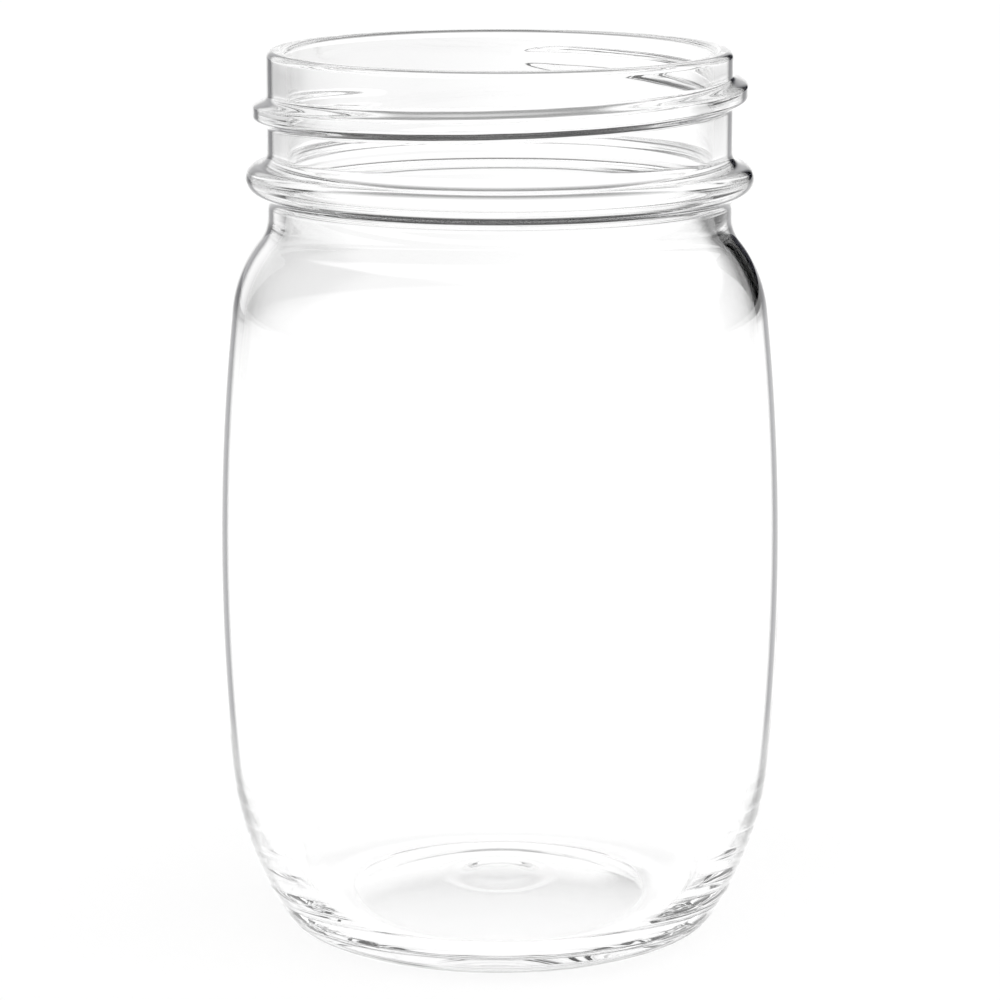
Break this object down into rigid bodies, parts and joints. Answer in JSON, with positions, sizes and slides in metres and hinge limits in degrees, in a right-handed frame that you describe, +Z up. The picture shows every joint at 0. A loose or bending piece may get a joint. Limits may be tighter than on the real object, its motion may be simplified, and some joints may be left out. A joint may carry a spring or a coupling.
{
  "type": "drinking jar",
  "caption": "Empty clear glass drinking jar with a wide screw neck, a bead under the thread, rounded shoulders and a heavy rounded base.",
  "frame": {"origin": "middle of the bearing ring on which the jar stands", "axes": "+Z up along the jar's axis, towards the mouth; -Y faces the viewer"},
  "size_m": [0.0808, 0.0808, 0.1283],
  "materials": {
    "clear_glass": "fire-polished, smooth and clear"
  },
  "bodies": {
    "root": {"jar": "clear_glass"}
  },
  "joints": []
}
